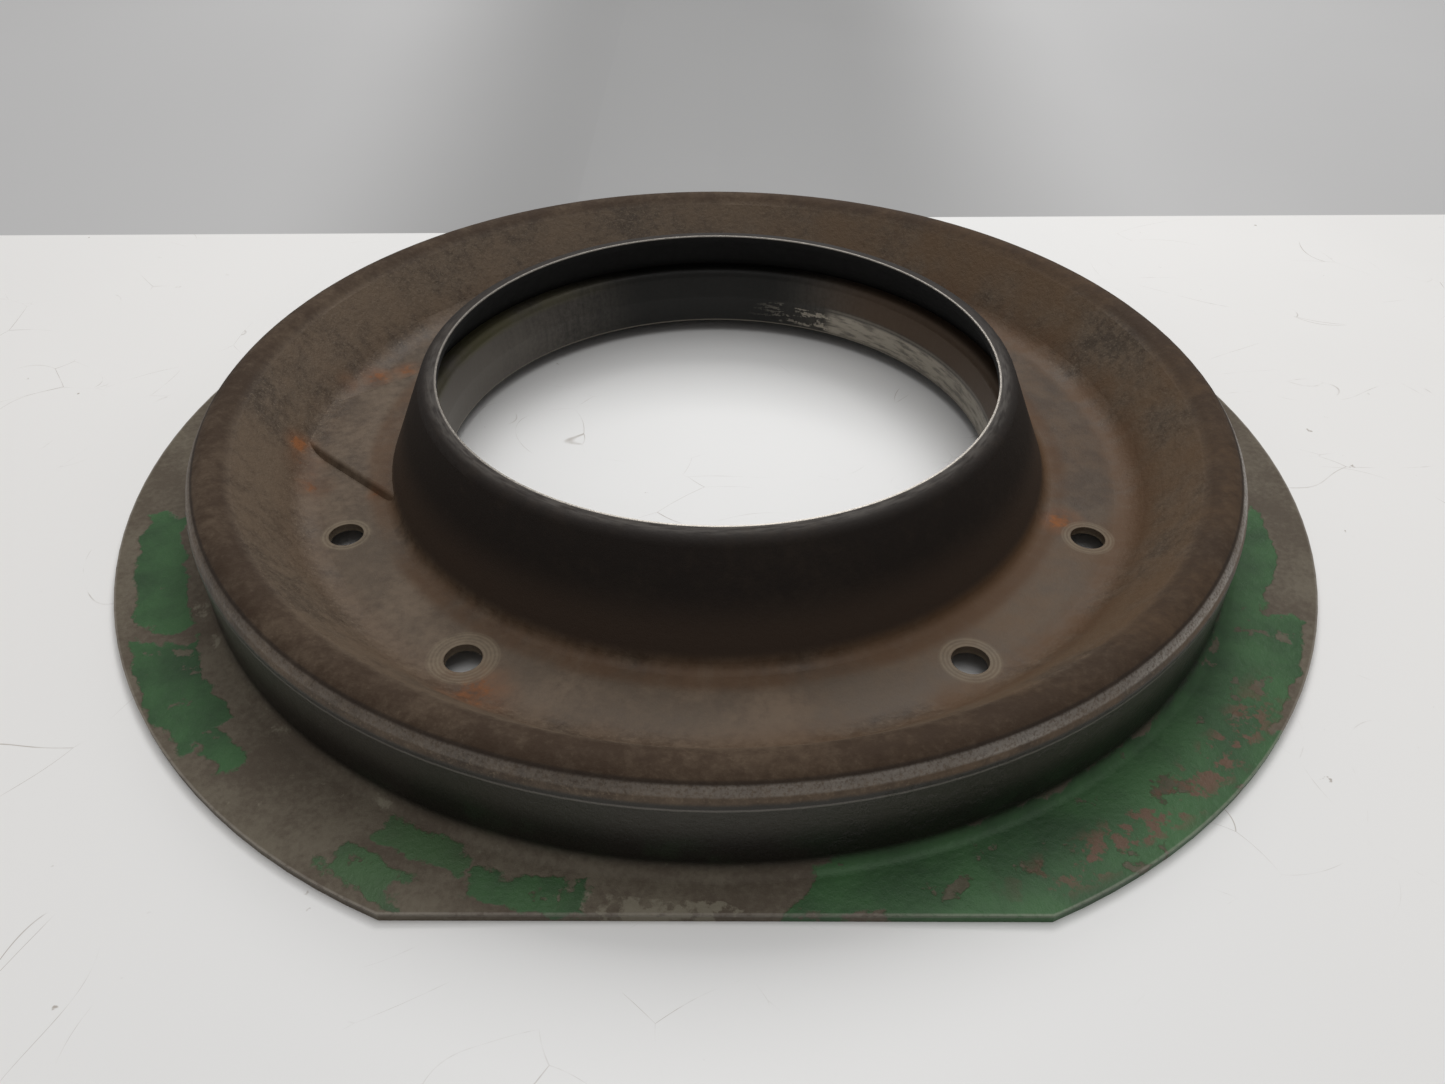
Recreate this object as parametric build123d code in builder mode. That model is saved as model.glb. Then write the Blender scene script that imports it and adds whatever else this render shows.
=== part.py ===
from build123d import *
import os
from math import cos, radians, sin, tan

# A pressed steel bell-mouth cover: a clipped flange, a round drum with a dished face, a tapered
# collar whose lip is rolled inwards, and a flared sleeve welded inside the collar.
# Millimetres, +Z up. The origin is the centre of the sleeve's lower mouth, and the flange's
# clipped side faces -Y.

# Sheet
SHEET = 3.4

# Flange
FLANGE_RADIUS = 265.0
FLANGE_UNDERSIDE = -7.5
FLAT_FROM_AXIS = 244.0

# Drum and its rounded rim
DRUM_RADIUS = 228.6
DRUM_FOOT_ROUND = 5.0
RIM_TOP = 37.3
RIM_ROUND = 10.4

# Dish: a steep slope inside the rim, then a flat seat that runs in to the collar
SLOPE_ANGLE = 52.0
SLOPE_FOOT_ROUND = 14.0
SEAT_HEIGHT = 5.0
COLLAR_FOOT_RADIUS = 151.0
COLLAR_FOOT_ROUND = 4.5

# Collar and lip
COLLAR_TAPER = 24.0
LIP_TOP = 51.4
LIP_RADIUS = 123.5
SHOULDER_ROUND = 6.0

# Bolt holes in the dish, two each side of -Y, as angles from +X
HOLE_DIAMETER = 14.3
HOLE_CIRCLE_RADIUS = 172.5
HOLE_ANGLES = (-155.0, -123.0, -57.0, -25.0)

# Low raised pad that bridges the dish on the -X side, its centre line shifted towards +Y
PAD_TOP = 8.2
PAD_SHIFT = 6.8
PAD_POINT = 209.3
PAD_OUTER_END = 200.0
PAD_INNER_END = 132.0
PAD_FLARE_ANGLE = 39.7
PAD_SIDE_DRAFT = 30.0
PAD_TOP_ROUND = 2.0

# Sleeve
SLEEVE_BORE_RADIUS = 127.0
SLEEVE_BAND_HEIGHT = 14.0
SLEEVE_THROAT_RADIUS = 129.5
SLEEVE_TOP = 29.5
SLEEVE_BAND_ROUND = 5.0
SLEEVE_TOP_ROUND = 5.0

# Stitch welds under the sleeve's turned-out top
WELD_COUNT = 8
WELD_ARC = 20.0
WELD_LEG = 2.5

FLANGE_TOP = FLANGE_UNDERSIDE + SHEET
OVERSIZE = 2 * FLANGE_RADIUS


def collar_outer_radius(height):
    """Radius of the collar's outside at a height, between its foot and its shoulder."""
    return COLLAR_FOOT_RADIUS - (height - SEAT_HEIGHT) * tan(radians(COLLAR_TAPER))


def collar_inner_radius(height):
    """Radius of the collar's inside at a height, one sheet thickness in from the outside."""
    return collar_outer_radius(height) - SHEET / cos(radians(COLLAR_TAPER))


def rim_corner_height():
    """Height where the drum wall would meet the dish slope if the rim weren't rounded."""
    half_corner = radians(90 - SLOPE_ANGLE) / 2
    return RIM_TOP - RIM_ROUND + RIM_ROUND / tan(half_corner)


def slope_radius(height):
    """Radius of the dish slope's upper face at a height."""
    return DRUM_RADIUS - (rim_corner_height() - height) / tan(radians(SLOPE_ANGLE))


def pad_half_width(distance):
    """Half the pad's width at a distance from the axis along -X. Its sides would meet at PAD_POINT."""
    return (PAD_POINT - distance) * tan(radians(PAD_FLARE_ANGLE))


def pad_outline(inset):
    """Corners of the pad in plan, moved in by inset on its outer end and both sides."""
    side_inset = inset / cos(radians(PAD_FLARE_ANGLE))
    outer_end = PAD_OUTER_END - inset
    outer_half = pad_half_width(outer_end) - side_inset
    inner_half = pad_half_width(PAD_INNER_END) - side_inset
    return [
        (-outer_end, PAD_SHIFT - outer_half),
        (-PAD_INNER_END, PAD_SHIFT - inner_half),
        (-PAD_INNER_END, PAD_SHIFT + inner_half),
        (-outer_end, PAD_SHIFT + outer_half),
    ]


def hole_centres():
    """Plan positions of the bolt holes."""
    return [
        (HOLE_CIRCLE_RADIUS * cos(radians(angle)), HOLE_CIRCLE_RADIUS * sin(radians(angle)))
        for angle in HOLE_ANGLES
    ]


# Plain pressing: its upper face from the flange's edge in to the lip, thickened downwards
with BuildPart() as plain_pressing:
    with BuildSketch(Plane.XZ) as pressing_section:
        with BuildLine() as upper_face:
            FilletPolyline(
                (FLANGE_RADIUS, FLANGE_TOP),
                (DRUM_RADIUS, FLANGE_TOP),
                (DRUM_RADIUS, rim_corner_height()),
                (slope_radius(SEAT_HEIGHT), SEAT_HEIGHT),
                (COLLAR_FOOT_RADIUS, SEAT_HEIGHT),
                (collar_outer_radius(LIP_TOP), LIP_TOP),
                (LIP_RADIUS, LIP_TOP),
                radius=[DRUM_FOOT_ROUND, RIM_ROUND, SLOPE_FOOT_ROUND, COLLAR_FOOT_ROUND, SHOULDER_ROUND],
            )
            offset(amount=SHEET, side=Side.LEFT)
        make_face()
    revolve(axis=Axis.Z)

# The dish filled level with the pad's top, from the middle of the sheet up
with BuildPart() as level_dish:
    with BuildSketch(Plane.XZ) as level_section:
        with BuildLine() as level_outline:
            Polyline(
                (slope_radius(PAD_TOP), PAD_TOP),
                (slope_radius(SEAT_HEIGHT), SEAT_HEIGHT - SHEET / 2),
                (COLLAR_FOOT_RADIUS, SEAT_HEIGHT - SHEET / 2),
                (collar_outer_radius(PAD_TOP) - SHEET / 2, PAD_TOP),
                close=True,
            )
        make_face()
    revolve(axis=Axis.Z)

# Pad: a wedge with drafted sides and a flat top, kept where it rises out of the dish
with BuildPart() as pad_rise:
    with BuildSketch(Plane.XY.offset(PAD_TOP)) as pad_plan:
        with BuildLine() as pad_edges:
            Polyline(*pad_outline(0), close=True)
        make_face()
    extrude(amount=FLANGE_UNDERSIDE - PAD_TOP, taper=-PAD_SIDE_DRAFT)
    fillet(pad_rise.faces().sort_by(Axis.Z)[-1].edges(), PAD_TOP_ROUND)
    add(level_dish.part, mode=Mode.INTERSECT)

# The hollow under the pad, one sheet thickness inside its top and sides
with BuildPart() as pad_hollow:
    with BuildSketch(Plane.XY.offset(PAD_TOP - SHEET)) as hollow_plan:
        with BuildLine() as hollow_edges:
            Polyline(*pad_outline(SHEET), close=True)
        make_face()
    extrude(amount=FLANGE_UNDERSIDE - PAD_TOP, taper=-PAD_SIDE_DRAFT)

# Pressed shell: flange, drum, dish, collar and lip in one sheet, with its pad, flat and holes
with BuildPart() as pressed_shell:
    add(plain_pressing.part)
    add(pad_rise.part)
    add(pad_hollow.part, mode=Mode.SUBTRACT)
    with Locations((0, -FLAT_FROM_AXIS, 0)):
        Box(OVERSIZE, OVERSIZE, OVERSIZE, align=(Align.CENTER, Align.MAX, Align.CENTER), mode=Mode.SUBTRACT)
    with Locations(*hole_centres()):
        Cylinder(HOLE_DIAMETER / 2, OVERSIZE, mode=Mode.SUBTRACT)

# Sleeve: a straight band at the bottom, a slight flare, and a top edge turned out to the collar
with BuildPart() as inner_sleeve:
    with BuildSketch(Plane.XZ) as sleeve_section:
        with BuildLine() as inner_face:
            FilletPolyline(
                (SLEEVE_BORE_RADIUS, 0),
                (SLEEVE_BORE_RADIUS, SLEEVE_BAND_HEIGHT),
                (SLEEVE_THROAT_RADIUS, SLEEVE_TOP),
                (collar_inner_radius(SLEEVE_TOP), SLEEVE_TOP),
                radius=[SLEEVE_BAND_ROUND, SLEEVE_TOP_ROUND],
            )
            offset(amount=SHEET, side=Side.RIGHT)
        make_face()
    revolve(axis=Axis.Z)

# Stitch welds: fillet beads in the corner under the sleeve's turned-out edge
with BuildPart() as sleeve_welds:
    edge_underside = SLEEVE_TOP - SHEET
    edge_radius = collar_inner_radius(SLEEVE_TOP)
    with BuildSketch(Plane.XZ) as weld_section:
        with BuildLine() as weld_outline:
            Polyline(
                (edge_radius, SLEEVE_TOP),
                (edge_radius, edge_underside),
                (edge_radius - WELD_LEG, edge_underside),
                (collar_inner_radius(edge_underside - WELD_LEG), edge_underside - WELD_LEG),
                close=True,
            )
        make_face()
    revolve(axis=Axis.Z, revolution_arc=WELD_ARC)
    first_weld = sleeve_welds.part
    with PolarLocations(0, WELD_COUNT - 1, start_angle=360 / WELD_COUNT, angular_range=360 - 360 / WELD_COUNT):
        add(first_weld)

pressed_shell.part.label = "pressed_shell"
inner_sleeve.part.label = "inner_sleeve"
sleeve_welds.part.label = "sleeve_welds"

os.makedirs("parts", exist_ok=True)
export_step(pressed_shell.part, "parts/pressed_shell.step")
export_step(inner_sleeve.part, "parts/inner_sleeve.step")
export_step(sleeve_welds.part, "parts/sleeve_welds.step")
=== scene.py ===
"""Looks for a pressed steel bell-mouth cover: a dished shell, an inner sleeve and its stitch welds."""

import logging
import math
from dataclasses import dataclass
from enum import Enum
from functools import reduce

import bmesh
import bpy
from mathutils import Matrix, Vector


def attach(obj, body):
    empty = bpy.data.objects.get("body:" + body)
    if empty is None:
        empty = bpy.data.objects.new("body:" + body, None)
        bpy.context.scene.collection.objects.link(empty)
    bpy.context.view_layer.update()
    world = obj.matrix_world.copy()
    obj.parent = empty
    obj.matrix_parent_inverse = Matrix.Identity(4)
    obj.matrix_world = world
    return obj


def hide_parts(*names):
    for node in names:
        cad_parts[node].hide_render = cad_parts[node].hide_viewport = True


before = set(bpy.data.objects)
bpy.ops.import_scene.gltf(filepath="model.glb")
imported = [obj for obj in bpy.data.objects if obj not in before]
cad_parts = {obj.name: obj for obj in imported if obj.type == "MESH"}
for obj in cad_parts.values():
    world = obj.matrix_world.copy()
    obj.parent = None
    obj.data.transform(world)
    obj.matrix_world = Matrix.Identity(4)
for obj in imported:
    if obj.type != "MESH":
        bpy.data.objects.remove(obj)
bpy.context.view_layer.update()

log = logging.getLogger("bell_mouth_cover")

BODY = "root"
Colour = tuple[float, float, float, float]
Point = tuple[float, float, float]
Span = tuple[float, float]
Socket = bpy.types.NodeSocket
Tree = bpy.types.NodeTree
Node = bpy.types.Node
Piece = bpy.types.Object
Finish = bpy.types.Material


def shade(red: int, green: int, blue: int) -> Colour:
    """Turns a colour picked on a 0 to 255 scale into a linear one.

    Args:
        red: Red, 0 to 255.
        green: Green, 0 to 255.
        blue: Blue, 0 to 255.

    Returns:
        Linear red, green, blue and an alpha of 1.
    """
    steps = [channel / 255 for channel in (red, green, blue)]
    linear = [step / 12.92 if step <= 0.04045 else ((step + 0.055) / 1.055) ** 2.4 for step in steps]
    return linear[0], linear[1], linear[2], 1.0


class Maths(Enum):
    """The Math node operations that the finishes use."""

    ADD = "ADD"
    SUBTRACT = "SUBTRACT"
    MULTIPLY = "MULTIPLY"
    SINE = "SINE"
    HIGHER = "MAXIMUM"
    DISTANCE = "ABSOLUTE"
    BEARING = "ARCTAN2"


@dataclass(frozen=True)
class Band:
    """A band of a value: full within its half width, then fading out over its softness."""

    centre: float
    half_width: float
    softness: float


@dataclass(frozen=True)
class Location:
    """Outputs that say where a point lies: as a position, round the axis, and from left to right and front to back."""

    place: Socket
    radius: Socket
    height: Socket
    bearing: Socket
    across: Socket
    depth: Socket


class Graph:
    """Adds nodes to one node tree and wires them together."""

    def __init__(self, tree: Tree) -> None:
        """Keeps the tree that nodes are added to.

        Args:
            tree: A material's or a group's node tree.
        """
        self.tree = tree

    def node(self, kind: str, values: dict | None = None, **settings: object) -> Node:
        """Adds a node, sets its options, and sets or links its inputs.

        Args:
            kind: The node's type name.
            values: Input names or numbers, each with a constant or an output socket.
            **settings: Options set on the node itself.

        Returns:
            The new node.
        """
        made = self.tree.nodes.new(kind)
        for name, value in settings.items():
            setattr(made, name, value)
        for name, value in (values or {}).items():
            self.feed(made.inputs[name], value)
        return made

    def feed(self, socket: Socket, value: object) -> None:
        """Links an output to an input, or sets the input's own constant.

        Args:
            socket: The input.
            value: An output socket or a constant.
        """
        if isinstance(value, Socket):
            self.tree.links.new(value, socket)
        else:
            socket.default_value = value

    def maths(self, kind: Maths, first: object, second: object = 0.0) -> Socket:
        """Adds a Math node that works out its kind from one or two numbers or outputs."""
        return self.node("ShaderNodeMath", {0: first, 1: second}, operation=kind.value).outputs[0]

    def join(self, kind: Maths, parts: tuple) -> Socket:
        """Works through several masks or numbers with one operation."""
        return reduce(lambda joined, part: self.maths(kind, joined, part), parts)

    def times(self, *factors: object) -> Socket:
        """Multiplies masks or numbers together."""
        return self.join(Maths.MULTIPLY, factors)

    def total(self, *terms: object) -> Socket:
        """Adds masks or numbers together."""
        return self.join(Maths.ADD, terms)

    def either(self, *masks: object) -> Socket:
        """Keeps the strongest of several masks at each point."""
        return self.join(Maths.HIGHER, masks)

    def rest_of(self, mask: object) -> Socket:
        """What a mask leaves uncovered."""
        return self.maths(Maths.SUBTRACT, 1.0, mask)

    def fade(self, value: object, start: object, end: object, low: object = 0.0, high: object = 1.0) -> Socket:
        """Maps a value smoothly, so that it goes from low at the start to high at the end."""
        values = {"Value": value, "From Min": start, "From Max": end, "To Min": low, "To Max": high}
        return self.node("ShaderNodeMapRange", values, interpolation_type="SMOOTHSTEP").outputs[0]

    def blend(self, mask: object, under: object, over: object) -> Socket:
        """Lays one colour over another, where the mask says how much of the upper one shows."""
        return self.node("ShaderNodeMix", {0: mask, 6: under, 7: over}, data_type="RGBA").outputs[2]

    def grain(self, place: object, scale: object, detail: float = 4.0, rough: float = 0.55) -> Socket:
        """Adds a noise pattern from 0 to 1: its scale is in features for each metre, its detail in finer layers."""
        values = {"Vector": place, "Scale": scale, "Detail": detail, "Roughness": rough}
        return self.node("ShaderNodeTexNoise", values).outputs[0]

    def effect(self, tree: Tree, **values: object) -> Node:
        """Places a shared effect and feeds its inputs.

        Args:
            tree: The effect's node group.
            **values: Its inputs by name, with underscores for spaces.

        Returns:
            The group node.
        """
        made = self.tree.nodes.new("ShaderNodeGroup")
        made.node_tree = tree
        for name, value in values.items():
            self.feed(made.inputs[name.replace("_", " ")], value)
        return made


class Effects:
    """The effects that more than one finish uses, each one node group built once."""

    def __init__(self) -> None:
        """Builds every group."""
        self.axis = self.build_axis()
        self.band = self.build_band()
        self.patches = self.build_patches()
        self.streaks = self.build_streaks()
        self.rust = self.build_rust()
        self.pits = self.build_pits()
        self.bloom = self.build_bloom()

    @staticmethod
    def start(name: str, inputs: dict[str, object], *outputs: str) -> tuple[Graph, Node, Node]:
        """Makes an empty group with named sockets.

        Args:
            name: The group's name.
            inputs: Input names with their starting values: a number or three of them.
            *outputs: Output names, of which "Colour" is a colour and the others are numbers.

        Returns:
            The group's graph, its input node and its output node.
        """
        tree = bpy.data.node_groups.new(name, "ShaderNodeTree")
        for label, value in inputs.items():
            kind = "NodeSocketVector" if isinstance(value, tuple) else "NodeSocketFloat"
            tree.interface.new_socket(label, in_out="INPUT", socket_type=kind).default_value = value
        for label in outputs:
            kind = "NodeSocketColor" if label == "Colour" else "NodeSocketFloat"
            tree.interface.new_socket(label, in_out="OUTPUT", socket_type=kind)
        return Graph(tree), tree.nodes.new("NodeGroupInput"), tree.nodes.new("NodeGroupOutput")

    def build_axis(self) -> Tree:
        """Distance from the part's axis, height, and bearing from +X in degrees."""
        inputs = {"Position": (0.0, 0.0, 0.0)}
        graph, given, result = self.start("around_the_axis", inputs, "Radius", "Height", "Bearing")
        parts = graph.node("ShaderNodeSeparateXYZ", {0: given.outputs[0]})
        flat = graph.node("ShaderNodeCombineXYZ", {0: parts.outputs[0], 1: parts.outputs[1]})
        length = graph.node("ShaderNodeVectorMath", {0: flat.outputs[0]}, operation="LENGTH")
        turn = graph.maths(Maths.BEARING, parts.outputs[1], parts.outputs[0])
        graph.feed(result.inputs["Radius"], length.outputs["Value"])
        graph.feed(result.inputs["Height"], parts.outputs[2])
        graph.feed(result.inputs["Bearing"], graph.times(turn, math.degrees(1)))
        return graph.tree

    def build_band(self) -> Tree:
        """A band of a value: full within its half width, then fading out over its softness."""
        inputs = {"Value": 0.0, "Centre": 0.0, "Half Width": 0.01, "Softness": 0.01}
        graph, given, result = self.start("soft_band", inputs, "Mask")
        away = graph.maths(Maths.DISTANCE, graph.maths(Maths.SUBTRACT, given.outputs[0], given.outputs[1]))
        edge = graph.total(given.outputs[2], given.outputs[3])
        graph.feed(result.inputs[0], graph.fade(away, given.outputs[2], edge, 1.0, 0.0))
        return graph.tree

    def build_patches(self) -> Tree:
        """Irregular patches with ragged edges. A higher cover spreads them."""
        inputs = {"Position": (0.0, 0.0, 0.0), "Scale": 20.0, "Cover": 0.5, "Softness": 0.02}
        graph, given, result = self.start("ragged_patches", inputs, "Mask")
        broad = graph.grain(given.outputs[0], given.outputs[1], 9.0, 0.62)
        edge = graph.rest_of(given.outputs[2])
        end = graph.total(edge, given.outputs[3])
        graph.feed(result.inputs[0], graph.fade(broad, edge, end))
        return graph.tree

    def build_streaks(self) -> Tree:
        """Streaks on a round surface: many around and few across run down it, few around run along it."""
        inputs = {"Position": (0.0, 0.0, 0.0), "Around": 5.0, "Across": 100.0}
        graph, given, result = self.start("turned_streaks", inputs, "Mask")
        parts = graph.node("ShaderNodeSeparateXYZ", {0: given.outputs[0]})
        flat = graph.node("ShaderNodeCombineXYZ", {0: parts.outputs[0], 1: parts.outputs[1]})
        heading = graph.node("ShaderNodeVectorMath", {0: flat.outputs[0]}, operation="NORMALIZE")
        length = graph.node("ShaderNodeVectorMath", {0: flat.outputs[0]}, operation="LENGTH")
        turned = graph.node("ShaderNodeVectorMath", {0: heading.outputs[0], 3: given.outputs[1]}, operation="SCALE")
        bearing = graph.node("ShaderNodeSeparateXYZ", {0: turned.outputs[0]})
        along = graph.total(length.outputs["Value"], parts.outputs[2])
        across = graph.times(along, given.outputs[2])
        place = graph.node("ShaderNodeCombineXYZ", {0: bearing.outputs[0], 1: bearing.outputs[1], 2: across})
        graph.feed(result.inputs[0], graph.grain(place.outputs[0], 1.0, 5.0, 0.6))
        return graph.tree

    def build_rust(self) -> Tree:
        """Powdery rust: its colour runs from brown to orange, and its mask breaks up at the edges."""
        inputs = {"Position": (0.0, 0.0, 0.0), "Strength": 0.5}
        graph, given, result = self.start("powdery_rust", inputs, "Colour", "Mask")
        cloud = graph.grain(given.outputs[0], 60.0, 6.0, 0.6)
        speck = graph.grain(given.outputs[0], 520.0, 3.0, 0.6)
        warm = graph.fade(cloud, 0.35, 0.68)
        colour = graph.blend(warm, shade(84, 54, 34), shade(150, 90, 42))
        reach = graph.total(graph.times(cloud, 0.6), graph.times(speck, 0.4))
        limit = graph.fade(given.outputs[1], 0.0, 1.0, 0.78, 0.25)
        graph.feed(result.inputs[0], colour)
        graph.feed(result.inputs[1], graph.fade(reach, limit, graph.total(limit, 0.22)))
        return graph.tree

    def build_pits(self) -> Tree:
        """Small corrosion pits: a height for a bump and a mask of the pits themselves."""
        inputs = {"Position": (0.0, 0.0, 0.0), "Scale": 500.0, "Cover": 0.3}
        graph, given, result = self.start("corrosion_pits", inputs, "Height", "Mask")
        peel = graph.grain(given.outputs[0], given.outputs[1], 5.0, 0.65)
        edge = graph.fade(given.outputs[2], 0.0, 1.0, 0.2, 0.6)
        pit = graph.fade(peel, graph.maths(Maths.SUBTRACT, edge, 0.08), edge, 1.0, 0.0)
        graph.feed(result.inputs[0], graph.maths(Maths.SUBTRACT, peel, pit))
        graph.feed(result.inputs[1], pit)
        return graph.tree

    def build_bloom(self) -> Tree:
        """A soft round spot about a centre, with its distance for rings."""
        inputs = {"Position": (0.0, 0.0, 0.0), "Centre": (0.0, 0.0, 0.0), "Reach": 0.01}
        graph, given, result = self.start("soft_spot", inputs, "Mask", "Distance")
        gap = graph.node("ShaderNodeVectorMath", {0: given.outputs[0], 1: given.outputs[1]}, operation="DISTANCE")
        graph.feed(result.inputs[0], graph.fade(gap.outputs["Value"], 0.0, given.outputs[2], 1.0, 0.0))
        graph.feed(result.inputs[1], gap.outputs["Value"])
        return graph.tree

    def locate(self, graph: Graph, place: Socket) -> Location:
        """Works out where a point lies on the part.

        Args:
            graph: The graph that needs it.
            place: Object position.

        Returns:
            The outputs that say where it lies.
        """
        axis = graph.effect(self.axis, Position=place)
        sides = graph.node("ShaderNodeSeparateXYZ", {0: place})
        radius, height, bearing = (axis.outputs[name] for name in ("Radius", "Height", "Bearing"))
        return Location(place, radius, height, bearing, sides.outputs[0], sides.outputs[1])

    def within(self, graph: Graph, value: object, band: Band) -> Socket:
        """Masks where a value lies in a band."""
        sizes = {"Centre": band.centre, "Half_Width": band.half_width, "Softness": band.softness}
        return graph.effect(self.band, Value=value, **sizes).outputs[0]

    def streaky(self, graph: Graph, place: Socket, around: float, across: float) -> Socket:
        """Adds streaks that follow the round surface; higher numbers put them closer together."""
        return graph.effect(self.streaks, Position=place, Around=around, Across=across).outputs[0]

    def ragged(self, graph: Graph, place: Socket, scale: float, cover: object, softness: float) -> Socket:
        """Adds patches with ragged edges; a higher cover spreads them."""
        return graph.effect(self.patches, Position=place, Scale=scale, Cover=cover, Softness=softness).outputs[0]


def start_finish(name: str) -> tuple[Finish, Graph, Node, Socket]:
    """Makes a material whose graph is ready for a finish.

    Args:
        name: The material's name.

    Returns:
        The material, its graph, its Principled shader and the object position.
    """
    material = bpy.data.materials.new(name)
    material.use_nodes = True
    graph = Graph(material.node_tree)
    shader = material.node_tree.nodes["Principled BSDF"]
    place = graph.node("ShaderNodeTexCoord").outputs["Object"]
    return material, graph, shader, place


@dataclass(frozen=True)
class PaintPatch:
    """One stretch of the flange where the green paint has stayed on."""

    bearing: float
    half_turn: float
    inner: float
    outer: float
    strength: float = 1.0

    def turn(self) -> Band:
        """The bearings it covers."""
        return Band(self.bearing, self.half_turn, 0.5)

    def reach(self) -> Band:
        """The distances from the axis it covers."""
        return Band((self.inner + self.outer) / 2, (self.outer - self.inner) / 2, 0.0012)


@dataclass(frozen=True)
class RustySheet:
    """Bare, rusted sheet on the dish and collar, with worn green paint left on the flange."""

    effects: Effects
    hole_centres: tuple[Point, ...]
    ring_widths: tuple[float, ...]
    hole_radius: float
    rust_spots: tuple[tuple[Point, float], ...]
    paint_left: tuple[PaintPatch, ...]
    name: str = "rusty_sheet"
    sheen: float = 0.3
    dish_dark: Colour = shade(64, 54, 45)
    dish_light: Colour = shade(110, 97, 83)
    dish_warm: Colour = shade(98, 76, 54)
    seat_painted_sheen: Colour = shade(88, 75, 61)
    seat_brown: Colour = shade(62, 48, 35)
    slope_painted_light: Colour = shade(104, 89, 73)
    bend_rust: Colour = shade(84, 58, 36)
    crest_painted_shade: Colour = shade(58, 43, 30)
    fleck: Colour = shade(142, 128, 108)
    collar_brown: Colour = shade(62, 50, 41)
    painted_shade_dark: Colour = shade(35, 29, 25)
    painted_recess_shadow: Colour = shade(12, 11, 10)
    worn_and_highlight_steel: Colour = shade(160, 154, 146)
    rim_painted_reflection: Colour = shade(56, 53, 48)
    wall_grey: Colour = shade(62, 60, 53)
    wall_painted_shade: Colour = shade(30, 28, 24)
    paint: Colour = shade(62, 98, 60)
    paint_dark: Colour = shade(46, 72, 46)
    bare_flange: Colour = shade(84, 74, 62)
    bare_light: Colour = shade(104, 96, 82)
    crust: Colour = shade(128, 122, 106)
    scrape: Colour = shade(98, 76, 60)
    ring: Colour = shade(130, 118, 98)

    drum_inside: Span = (0.2275, 0.2262)
    drum_top: Span = (0.0282, 0.0300)
    peel_start: Span = (0.178, 0.186)
    peel_end: Span = (0.2295, 0.2270)
    fleck_start: Span = (0.182, 0.190)
    slope_start: Span = (0.189, 0.196)
    slope_end: Span = (0.2145, 0.2085)
    right_side: Span = (-0.06, 0.16)
    front_side: Span = (0.0, -0.12)
    crest_height: Span = (0.0318, 0.0350)
    crest_start: Span = (0.2075, 0.2140)
    crest_outside: Span = (0.220, 0.222)
    collar_outside: Span = (0.1515, 0.1485)
    collar_foot: Span = (0.0065, 0.0120)
    collar_shading: Span = (0.016, 0.034)
    collar_lean: float = 0.4452
    cone_inside: Span = (0.1518, 0.1508)
    cone_top: Span = (0.0492, 0.0484)
    lip_face: Span = (0.1240, 0.1237)
    wall_foot: Span = (-0.0035, 0.001)
    wall_shading: Span = (0.022, 0.007)
    wall_stains: Span = (0.018, 0.006)
    rim_foot: Span = (0.0262, 0.0272)
    rim_outside: Span = (0.2235, 0.2250)
    round_edge: Span = (0.26405, 0.2645)
    flat_edge: Span = (-0.2430, -0.24345)
    edge_height: Span = (-0.0056, -0.0046)
    lip_height: Span = (0.0492, 0.0512)
    lip_outside: Span = (0.1300, 0.1262)
    lip_inside: Span = (0.1246, 0.1239)
    lip_corner: Span = (0.0507, 0.0511)

    seat: Band = Band(0.168, 0.009, 0.008)
    bend: Band = Band(0.1875, 0.003, 0.010)
    crease: Band = Band(0.1545, 0.0025, 0.006)
    crest_line: Band = Band(0.0349, 0.0002, 0.0006)
    shelf_turn: Band = Band(-96.0, 5.0, 3.0)
    scrape_track: Band = Band(0.2535, 0.003, 0.008)
    scrape_turn: Band = Band(-52.0, 10.0, 9.0)
    wall_top_painted_reflection: Band = Band(0.0267, 0.0002, 0.0005)
    rim_line: Band = Band(0.0330, 0.0010, 0.0009)

    def build(self) -> Finish:
        """Builds the material.

        Returns:
            The finished material.
        """
        material, graph, shader, place = start_finish(self.name)
        at = self.effects.locate(graph, place)
        dish = graph.either(graph.fade(at.radius, *self.drum_inside), graph.fade(at.height, *self.drum_top))
        colour, gloss = self.dress_dish(graph, at)
        flange, flange_gloss, flange_lift = self.dress_flange(graph, at)
        colour = graph.blend(dish, flange, colour)
        gloss = graph.fade(dish, 0.0, 1.0, flange_gloss, gloss)

        # Bright steel on the rim and lip: rubbed metal, weighted towards the front as a painted highlight.
        worn = graph.either(self.rim_wear_and_highlight(graph, at), self.lip_wear_and_highlight(graph, at))
        colour = graph.blend(graph.times(worn, 0.85), colour, self.worn_and_highlight_steel)
        gloss = graph.fade(worn, 0.0, 1.0, gloss, 0.34)

        slope = graph.times(graph.fade(at.radius, *self.peel_start), graph.fade(at.radius, *self.peel_end))
        peel = graph.effect(self.effects.pits, Position=place, Scale=420.0, Cover=0.25).outputs["Height"]
        fine = graph.grain(place, 1500.0, 3.0, 0.6)
        lift = graph.total(
            graph.times(peel, graph.fade(slope, 0.0, 1.0, 0.4, 1.1)),
            graph.times(fine, 0.16),
            graph.times(flange_lift, graph.rest_of(dish)),
        )
        bump = graph.node("ShaderNodeBump", {"Strength": 0.55, "Distance": 0.0006, "Height": lift})

        shader.inputs["Specular IOR Level"].default_value = self.sheen
        graph.feed(shader.inputs["Base Color"], colour)
        graph.feed(shader.inputs["Roughness"], gloss)
        graph.feed(shader.inputs["Metallic"], graph.fade(worn, 0.0, 1.0, 0.12, 0.8))
        graph.feed(shader.inputs["Normal"], bump.outputs[0])
        return material

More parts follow.
